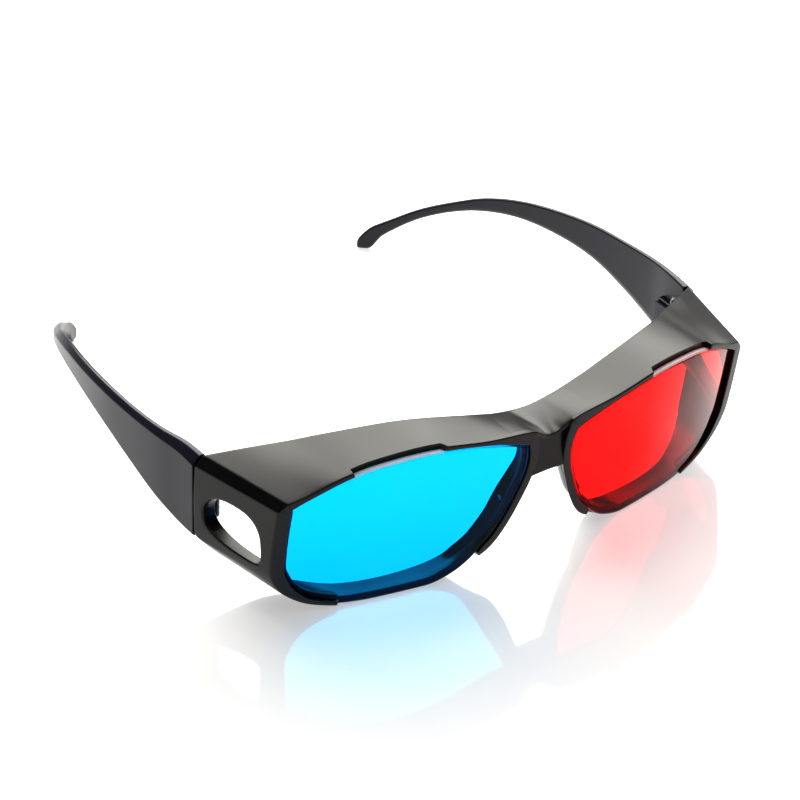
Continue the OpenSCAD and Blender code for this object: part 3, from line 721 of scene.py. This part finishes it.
def lens_outline(shape, count):
    """Middle of the lens and its outline in the front view, one point to each direction from the middle."""
    steps = 24
    fine = [shape.lens_point(i / steps) for i in range(STATION_COUNT * steps)]
    mid = sum(fine, Vector((0, 0))) / len(fine)
    pairs = [(a - mid, b - mid) for a, b in zip(fine, fine[1:] + fine[:1])]
    out = []
    for k in range(count):
        turn = -math.tau * k / count
        way = Vector((math.cos(turn), math.sin(turn)))
        reach = []
        for a, b in pairs:
            p, q = way.cross(a), way.cross(b)
            if (p > 0) != (q > 0):
                reach.append(way.dot(a.lerp(b, p / (p - q))))
        out.append(mid + way * min(r for r in reach if r > 0))
    return mid, out


def lens_plan(shape):
    """Curved lens plate with a chamfered edge."""
    s = shape.s
    plan = MeshPlan(s.depth_origin)
    e, count = s.lens_edge, 320
    mid, edge = lens_outline(shape, count)
    inward = []
    for k in range(count):
        d = (edge[(k + 2) % count] - edge[k - 2]).normalized()
        inward.append(Vector((d[1], -d[0])))
    in_notch = [k for k in range(count) if inward[k][1] < -0.5 and s.notch_in < edge[k][0] < s.notch_out]
    bend_start, bend_width = 0.6, 0.34

    def ring(share, inset, depth, bent):
        """Loop between the middle and the edge, set in from the edge, on the front or the rear face."""
        flat = [mid.lerp(p + n * inset, share) for p, n in zip(edge, inward)]
        points = []
        for x, z in flat:
            outside = max(0, x / shape.corner_x - bend_start) / bend_width
            points.append((x, shape.face(x, z) + depth + bent * s.lens_wrap * outside ** 2, z))
        return plan.loop(points)

    shares = [0.12, 0.3, 0.5, 0.62, 0.72, 0.8, 0.87, 0.93, 0.97, 1.0]
    near, far = s.lens_step, shape.lens_back
    loops = [ring(t, e, near, 1) for t in shares]
    rim = ((0.9 * e, near + 0.06 * e, 1), (0.05 * e, near + 0.9 * e, 1), (0, near + 1.05 * e, 1),
           (0, far - 0.5 * e, 0), (0.4 * e, far - 0.04 * e, 0))
    loops += [ring(1, *row) for row in rim]
    loops += [ring(t, 0.5 * e, far, 0) for t in reversed(shares)]
    for i, (a, b) in enumerate(zip(loops, loops[1:])):
        first = len(plan.faces)
        plan.bridge(a, b)
        if len(shares) <= i + 1 < len(shares) + len(rim):
            plan.edge_faces += [first + k for k in in_notch]
    for loop, depth in ((loops[0], near), (loops[-1], far)):
        hub = plan.add((mid[0], shape.face(*mid) + depth, mid[1]))
        plan.faces += [(hub, a, b) for a, b in zip(loop, loop[1:] + loop[:1])]
    return plan


def temple_stations(s):
    """Centre x, y, lower edge, upper edge and thickness along the temple."""
    hinge_x = s.hinge_w / 2
    start = s.wrap_depth + s.butt_gap
    x0, arm, tip = hinge_x - s.temple_t / 2, hinge_x + s.temple_bow - s.hook_t / 2, s.tip_gap / 2
    nl, nh, wl, th = s.neck_low, s.neck_h, s.wrap_low, s.temple_h

    def y(t):
        """Depth at a share of the temple's length."""
        return start + (s.temple_len - s.butt_gap) * t

    butt = [
        [x0, y(0), wl + 0.6, wl + th, s.temple_t],
        [x0 + s.temple_bow / 2, y(0.06), wl + 1.2, wl + th + 0.4, mix(s.temple_t, s.hook_t, 0.3)],
        [arm - 0.2, y(0.145), wl + 3.6, wl + th - 0.4, mix(s.temple_t, s.hook_t, 0.8)],
    ]
    rest = [
        (0, 0.25, nl - 4.6, nl + nh + 2.8),
        (0.02, 0.37, nl - 1.2, nl + nh + 1.8),
        (0.08, 0.49, nl, nl + nh),
        (0.175, 0.61, nl - 0.4, nl + nh - 2.6),
        (0.295, 0.715, nl - 2.8, nl + nh - 6.4),
        (0.437, 0.8, nl * 0.74, nl * 0.74 + s.hook_h),
        (0.61, 0.878, nl * 0.53, nl * 0.53 + s.hook_h),
        (0.772, 0.938, nl * 0.285, nl * 0.285 + s.hook_h + 0.8),
        (0.905, 0.977, nl * 0.08, nl * 0.08 + s.tip_h + 0.3),
        (1, 1, 0, s.tip_h),
    ]
    return butt + [[mix(arm, tip, turn), y(t), low, high, s.hook_t] for turn, t, low, high in rest]


def temple_section(stations, u, shrink):
    """Rounded section of the temple at u, drawn in by a margin at its ends."""
    last = len(stations) - 1
    v = open_curve(stations, u)
    p, q = open_curve(stations, max(u - 1 / 3, 0)), open_curve(stations, min(u + 1 / 3, last))
    way = Vector((q[0] - p[0], q[1] - p[1])).normalized()
    if u < 1 / 3:
        way = Vector((0, 1)).lerp(way, u * 3).normalized()
    half, tip_run, foot_run, foot_ease = v[4] / 2 - shrink, 1.2, 1.6, 0.8
    taper = 0.5 * (max(0, u - last + tip_run) / tip_run) ** 1.5
    high = mix(v[3], v[2], taper) - shrink * 0.6
    low = v[2] * (1 - smooth((u - last + foot_run) / foot_ease)) + shrink * 0.6
    k, e = min(1, (high - low) / 20), min(0.4, (high - low) / 6)
    bevel = min(1.15 * half, 0.35 * (high - low))
    shape = [(1, low + e), (1, high - bevel), (1 - bevel / half, high), (-0.8, high), (-1, high - e),
             (-1, low + e + 2.2 * k), (0.1, low), (0.8, low)]
    points = [Vector((v[0] + way[1] * half * a, v[1] - way[0] * half * a, z)) for a, z in shape]
    return rounded(points, [0.5, 0.35, 0.3, 0.25, 0.25, 1.2, 0.8, 0.3])


def temple_plan(s):
    """Temple bar with softened ends and the boss under its hinge leaf."""
    plan = MeshPlan(s.depth_origin)
    stations = temple_stations(s)
    last, steps = len(stations) - 1, 8
    tip = ((0.3, 0.03), (0.2, 0.12), (0.12, 0.3), (0.06, 0.55), (0.02, 0.85), (0, 1.15))
    places = [(0, 0.22), (0.012, 0.07), (0.03, 0)]
    places += [(i / steps, 0) for i in range(1, last * steps - 2)]
    places += [(last - back, shrink) for back, shrink in tip]
    plan.skin([plan.loop(temple_section(stations, u, shrink)) for u, shrink in places])
    leaf_x = s.hinge_w / 2 - s.hinge_wall
    y0 = s.wrap_depth + s.butt_gap / 2 + 2.1
    y1 = s.wrap_depth + s.butt_gap + s.leaf_len + 1
    half = s.leaf_h / 2 + 0.8
    boss = []
    for x, shrink in ((leaf_x + 2.4, 0), (leaf_x + 0.45, 0), (leaf_x + 0.12, 0.12), (leaf_x, 0.4)):
        rise = half - shrink
        corners = upright(x, y0 + shrink, y1 - shrink, s.hinge_z - rise, s.hinge_z + rise)
        boss.append(plan.loop(rounded(corners, [0.8] * 4)))
    plan.skin(boss)
    return plan


def pad_plan(shape):
    """Soft pad on the nose side of the nasal wall, with its peg."""
    s = shape.s
    plan = MeshPlan(s.depth_origin)
    first, last, front, rear, seat = 21, 24, 3, 0.97, 0.04

    def spot(u, f, lift):
        """Point over the nasal wall."""
        v, n = shape.at(u), shape.inward(u, 0, 1)
        y = shape.face(v[0], v[1])
        return Vector((mix(v[0], v[2], f) - n[0] * lift, mix(y, v[3], f), mix(v[1], v[4], f) - n[1] * lift))

    def start(u):
        """Share of the wall's depth where the pad begins."""
        v = shape.at(u)
        return front / (v[3] - shape.face(v[0], v[1]))

    rows, steps, across = [], 30, 12
    for k in range(steps + 1):
        t = k / steps
        u = mix(first, last, t)
        height = s.pad_t * (0.45 + 0.55 * math.sin(math.pi * t)) * math.sqrt(max(0, 1 - abs(2 * t - 1) ** 8))
        a = start(u)
        squeeze = 0.16 * abs(2 * t - 1) ** 6
        row = []
        for j in range(across + 1):
            g = j / across
            f = mix(a, rear, mix(squeeze, 1 - squeeze, g))
            row.append(spot(u, f, seat + height * (1 - abs(2 * g - 1) ** 3.2)))
        for g in (1, 0.75, 0.5, 0.25, 0):
            row.append(spot(u, mix(a, rear, mix(squeeze, 1 - squeeze, g)), seat * 0.5))
        rows.append(plan.loop(row))
    plan.skin(rows)
    mid = (first + last) / 2 + 1 / 3
    peg = spot(mid, mix(start(mid), rear, 0.5), 0)
    loops, sides = [], 24
    for x, r in ((-0.4, s.peg_r), (s.wall - 0.4, s.peg_r), (s.wall - 0.2, s.peg_r * 0.8)):
        turns = [math.tau * k / sides for k in range(sides)]
        loops.append(plan.loop([peg + Vector((x, math.cos(a) * r, math.sin(a) * r)) for a in turns]))
    plan.skin(loops, True)
    return plan


def feed(node, values):
    """Gives a node's inputs, by name or number, a value or a link from another node."""
    for label, value in values.items():
        if hasattr(value, "is_output"):
            node.id_data.links.new(value, node.inputs[label])
        else:
            node.inputs[label].default_value = value


def add_node(tree, kind, values):
    """Adds a node with its inputs."""
    node = tree.nodes.new(kind)
    feed(node, values)
    return node


def math_node(tree, operation, a, b):
    """Math node whose inputs are sockets or numbers."""
    node = add_node(tree, "ShaderNodeMath", {0: a, 1: b})
    node.operation = operation
    return node.outputs[0]


def noise_node(tree, scale, detail, stretch=(1, 1, 1)):
    """Noise over the piece's own coordinates, with an optional stretch."""
    spot = tree.nodes.new("ShaderNodeTexCoord").outputs["Object"]
    drawn = add_node(tree, "ShaderNodeMapping", {"Vector": spot, "Scale": stretch}).outputs["Vector"]
    noise = add_node(tree, "ShaderNodeTexNoise", {"Vector": drawn, "Scale": scale, "Detail": detail})
    return noise.outputs["Fac"]


def drifting(tree, noise, spread, least):
    """Values that drift with the noise from the least one up by a spread."""
    return math_node(tree, "ADD", math_node(tree, "MULTIPLY", noise, spread), least)


def moulded_grain():
    """Group for moulded plastic: mould grain, slow gloss drift and a faint colour drift."""
    name, tint, number = "Moulded grain", "NodeSocketColor", "NodeSocketFloat"
    if name in bpy.data.node_groups:
        return bpy.data.node_groups[name]
    group = bpy.data.node_groups.new(name, "ShaderNodeTree")
    for label, kind, value in (("Colour", tint, (0.01, 0.01, 0.01, 1)), ("Roughness", number, 0.3),
                               ("Spread", number, 0.1), ("Grain scale", number, 2600.0),
                               ("Drift scale", number, 60.0)):
        group.interface.new_socket(label, in_out="INPUT", socket_type=kind).default_value = value
    for label, kind in (("Colour", tint), ("Roughness", number), ("Height", number)):
        group.interface.new_socket(label, in_out="OUTPUT", socket_type=kind)
    given = group.nodes.new("NodeGroupInput").outputs
    grain = noise_node(group, given["Grain scale"], 3)
    drift = math_node(group, "SUBTRACT", noise_node(group, given["Drift scale"], 4), 0.5)
    value = drifting(group, drift, 0.5, 1.0)
    tone = add_node(group, "ShaderNodeHueSaturation", {"Color": given["Colour"], "Value": value})
    rough = drifting(group, drift, given["Spread"], given["Roughness"])
    add_node(group, "NodeGroupOutput", {"Colour": tone.outputs["Color"], "Roughness": rough, "Height": grain})
    return group


def base_material(name):
    """Material with its node tree and shader."""
    material = bpy.data.materials.new(name)
    material.use_nodes = True
    return material, material.node_tree, material.node_tree.nodes["Principled BSDF"]


def add_bump(tree, shader, height, strength, distance):
    """Bump from a height to the shader's normal."""
    bump = add_node(tree, "ShaderNodeBump", {"Height": height, "Strength": strength, "Distance": distance})
    feed(shader, {"Normal": bump.outputs["Normal"]})


def grained(name, tint, values, strength, distance, constants):
    """Material whose colour, gloss and height come from the moulded grain, with the shader's constants."""
    material, tree, shader = base_material(name)
    grain = tree.nodes.new("ShaderNodeGroup")
    grain.node_tree = moulded_grain()
    feed(grain, {"Colour": (*tint, 1), **values})
    made = grain.outputs
    feed(shader, {"Base Color": made["Colour"], "Roughness": made["Roughness"], **constants})
    add_bump(tree, shader, made["Height"], strength, distance)
    return material


def moulded_plastic(name, tint, rough):
    """Black moulded plastic."""
    return grained(name, tint, {"Roughness": rough, "Spread": 0.1}, 0.2, 0.00002, {"IOR": 1.54})


def tinted_lens(name, tint):
    """Clear tinted acrylic with a sheen at grazing angles."""
    material, tree, shader = base_material(name)
    facing = add_node(tree, "ShaderNodeLayerWeight", {"Blend": 0.5}).outputs["Facing"]
    sheen = add_node(tree, "ShaderNodeMapRange", {"Value": facing, "From Min": 0.55, "From Max": 0.75})
    rough = math_node(tree, "MULTIPLY", noise_node(tree, 90, 3), 0.03)
    feed(shader, {"Base Color": (*tint, 1), "Transmission Weight": 1, "IOR": 1.22, "Specular IOR Level": 0.12,
                  "Coat IOR": 2.0, "Coat Weight": sheen.outputs["Result"], "Roughness": rough})
    return material


def frosted_edge(name, tint):
    """Frosted edge of a tinted lens, paler than its face."""
    pale = [mix(c, 0.78, 0.85) for c in tint]
    constants = {"Transmission Weight": 0.2}
    return grained(name, pale, {"Roughness": 0.5, "Grain scale": 5200}, 0.4, 0.00003, constants)


def clear_silicone(name, tint):
    """Cloudy clear silicone."""
    constants = {"Transmission Weight": 0.15, "IOR": 1.41}
    return grained(name, tint, {"Roughness": 0.3, "Spread": 0.2}, 0.15, 0.00002, constants)


def blackened_steel(name, tint, stretch):
    """Blackened metal with fine drawn lines."""
    material, tree, shader = base_material(name)
    lines = noise_node(tree, 900, 4, stretch)
    feed(shader, {"Base Color": (*tint, 1), "Metallic": 1, "Roughness": drifting(tree, lines, 0.25, 0.15)})
    add_bump(tree, shader, lines, 0.25, 0.00001)
    return material


def table_top(name, tint, glow):
    """Glossy white table with a painted glow: emission that stands in for fill light, stronger behind the
    glasses.
    """
    material, tree, shader = base_material(name)
    spot = tree.nodes.new("ShaderNodeTexCoord").outputs["Object"]
    part = add_node(tree, "ShaderNodeSeparateXYZ", {"Vector": spot}).outputs
    along = math_node(tree, "ADD", part["Y"], math_node(tree, "MULTIPLY", part["X"], 0.2))
    # Painted glow: the emission rises from 1 to 1.7 behind the glasses.
    rise = add_node(tree, "ShaderNodeMapRange", {"Value": along, "From Min": -0.1, "From Max": -0.02,
                                                 "To Min": 1, "To Max": 1.7})
    rise.interpolation_type = "SMOOTHSTEP"
    rough = drifting(tree, noise_node(tree, 6, 2), 0.02, 0.05)
    feed(shader, {"Base Color": (*tint, 1), "IOR": 1.55, "Roughness": rough,
                  "Emission Color": rise.outputs["Result"], "Emission Strength": glow})
    return material


class GLASSES_OT_front(bpy.types.Operator):
    """Makes the moulded front with its windows, notches and bridge"""
    bl_idname = "glasses.make_front"
    bl_label = "Front"

    def execute(self, context):
        shape = FrontShape(sizes())
        plan = MeshPlan(shape.s.depth_origin)
        add_half_front(plan, shape)
        plan.mirrored()
        add_bridge(plan, shape)
        front = plan.build("front_shell")
        weigh_normals(front)
        finish = settings().finish
        material = moulded_plastic("Black front", finish.front_colour, finish.front_rough)
        place(front, "front", ["front_frame"], material)
        return {"FINISHED"}


class GLASSES_OT_lenses(bpy.types.Operator):
    """Makes the two tinted lenses"""
    bl_idname = "glasses.make_lenses"
    bl_label = "Lenses"

    def execute(self, context):
        shape = FrontShape(sizes())
        finish = settings().finish
        for name, node, tint, mirror in (("red_pane", "red_lens", finish.red_colour, False),
                                         ("cyan_pane", "cyan_lens", finish.cyan_colour, True)):
            pane = lens_plan(shape).build(name, mirror)
            weigh_normals(pane)
            place(pane, "front", [node], tinted_lens(name + "_tint", tint))
            pane.data.materials.append(frosted_edge(name + "_edge", tint))
        return {"FINISHED"}


class GLASSES_OT_temples(bpy.types.Operator):
    """Makes the two temples with their ear hooks"""
    bl_idname = "glasses.make_temples"
    bl_label = "Temples"

    def execute(self, context):
        finish = settings().finish
        material = moulded_plastic("Black temple", finish.temple_colour, finish.temple_rough)
        for side, mirror in SIDES:
            bar = temple_plan(sizes()).build(side + "_temple_bar", mirror)
            weigh_normals(bar)
            place(bar, side + "_arm", [side + "_temple"], material)
        return {"FINISHED"}


class GLASSES_OT_pads(bpy.types.Operator):
    """Makes the two clear nose pads"""
    bl_idname = "glasses.make_pads"
    bl_label = "Nose pads"

    def execute(self, context):
        shape = FrontShape(sizes())
        material = clear_silicone("Clear pad", settings().finish.pad_colour)
        for side, mirror in SIDES:
            pad = pad_plan(shape).build(side + "_pad", mirror)
            place(pad, "front", [side + "_nose_pad"], material)
        return {"FINISHED"}


class GLASSES_OT_hinges(bpy.types.Operator):
    """Finishes the metal leaves and screws of the hinges"""
    bl_idname = "glasses.finish_hinges"
    bl_label = "Hinges"

    def execute(self, context):
        tint = settings().finish.steel_colour
        strip = blackened_steel("Hinge strip", tint, (1, 8, 1))
        screw = blackened_steel("Screw steel", [min(1, c * 1.3) for c in tint], (1, 1, 1))
        for name, node in frame["nodes"].items():
            if "leaf" not in name and "screw" not in name:
                continue
            edge = node.modifiers.new("Worn edge", "BEVEL")
            edge.width = 0.06 * MM
            edge.segments = 2
            edge.limit_method = "ANGLE"
            for slot in node.material_slots:
                slot.material = screw if "screw" in name else strip
        return {"FINISHED"}


def add_softbox(name, spot, size, brightness, tint):
    """Rectangular light that faces the object, with a given brightness of its surface."""
    light = bpy.data.lights.new(name, "AREA")
    light.shape = "RECTANGLE"
    light.size, light.size_y = size
    light.energy = brightness * math.pi * size[0] * size[1]
    light.color = tint
    obj = add_object(name, light)
    obj.location = spot
    obj.rotation_euler = (-Vector(spot)).to_track_quat("-Z", "Y").to_euler()
    obj.visible_camera = False


def add_camera(values):
    """Camera at the photograph's angle."""
    az, el, roll = values.azimuth, values.elevation, values.roll
    back = Vector((math.sin(az) * math.cos(el), -math.cos(az) * math.cos(el), math.sin(el)))
    flat = Vector((math.cos(az), math.sin(az), 0))
    up = back.cross(flat)
    right = flat * math.cos(roll) + up * math.sin(roll)
    up = up * math.cos(roll) - flat * math.sin(roll)
    spot = back * values.distance - right * values.shift_x - up * values.shift_y
    spot.y += sizes().depth_origin * MM
    data = bpy.data.cameras.new("Camera")
    data.sensor_width = 36
    data.lens = values.focal
    obj = add_object("Camera", data)
    turn = Matrix((right, up, back)).transposed().to_4x4()
    obj.matrix_world = Matrix.Translation(spot) @ turn
    bpy.context.scene.camera = obj


class GLASSES_OT_stage(bpy.types.Operator):
    """Sets the table, the softboxes and the camera"""
    bl_idname = "glasses.set_stage"
    bl_label = "Stage"

    def execute(self, context):
        values, scene = settings().stage, context.scene
        mesh = bpy.data.meshes.new("table_top")
        corners = [(x * TABLE_REACH, y * TABLE_REACH, 0) for x, y in ((-1, -1), (1, -1), (1, 1), (-1, 1))]
        mesh.from_pydata(corners, [], [(0, 1, 2, 3)])
        table = add_object("table_top", mesh)
        table.location.z = -TABLE_DROP
        finish = settings().finish
        mesh.materials.append(table_top("White table", finish.floor_colour, finish.painted_floor_glow))
        warm, white = (1, 0.98, 0.92), (1, 1, 1)
        add_softbox("Rear softbox", (0.66, 1.26, 1.29), (3.05, 1.62), values.key_level, warm)
        add_softbox("Bridge softbox", (-0.06, 0.33, 1.43), (0.9, 0.55), values.key_level, warm)
        add_softbox("Top softbox", (-0.1, -0.3, 1.7), (1.8, 1.8), values.top_level, white)
        add_softbox("Front fill", (-0.9, -1.4, 0.9), (1.2, 1.2), values.fill_level, white)
        world = bpy.data.worlds.new("Studio")
        world.use_nodes = True
        world.node_tree.nodes["Background"].inputs["Color"].default_value = (0.03, 0.03, 0.034, 1)
        scene.world = world
        scene.view_settings.view_transform = "Standard"
        scene.view_settings.look = "High Contrast"
        add_camera(values)
        return {"FINISHED"}



class GLASSES_PT_panel(bpy.types.Panel):
    """Lists the pieces of the glasses"""
    bl_label = "Viewing glasses"
    bl_space_type = "VIEW_3D"
    bl_region_type = "UI"
    bl_category = "Glasses"

    def draw(self, context):
        for step in STEPS:
            self.layout.operator(step.bl_idname)


STEPS = (GLASSES_OT_front, GLASSES_OT_lenses, GLASSES_OT_temples, GLASSES_OT_pads, GLASSES_OT_hinges,
         GLASSES_OT_stage)
CLASSES = (FrontSizes, LensSizes, TempleSizes, Finishes, StageSettings, GlassesSettings, *STEPS,
           GLASSES_PT_panel)


def register():
    """Adds the classes and the scene's values."""
    for item in CLASSES:
        bpy.utils.register_class(item)
    bpy.types.Scene.viewing_glasses = PointerProperty(type=GlassesSettings)


def unregister():
    """Takes them away again."""
    del bpy.types.Scene.viewing_glasses
    for item in reversed(CLASSES):
        bpy.utils.unregister_class(item)


def main():
    """Builds everything."""
    register()
    bpy.ops.glasses.make_front()
    bpy.ops.glasses.make_lenses()
    bpy.ops.glasses.make_temples()
    bpy.ops.glasses.make_pads()
    bpy.ops.glasses.finish_hinges()
    bpy.ops.glasses.set_stage()


if __name__ == "__main__":
    main()
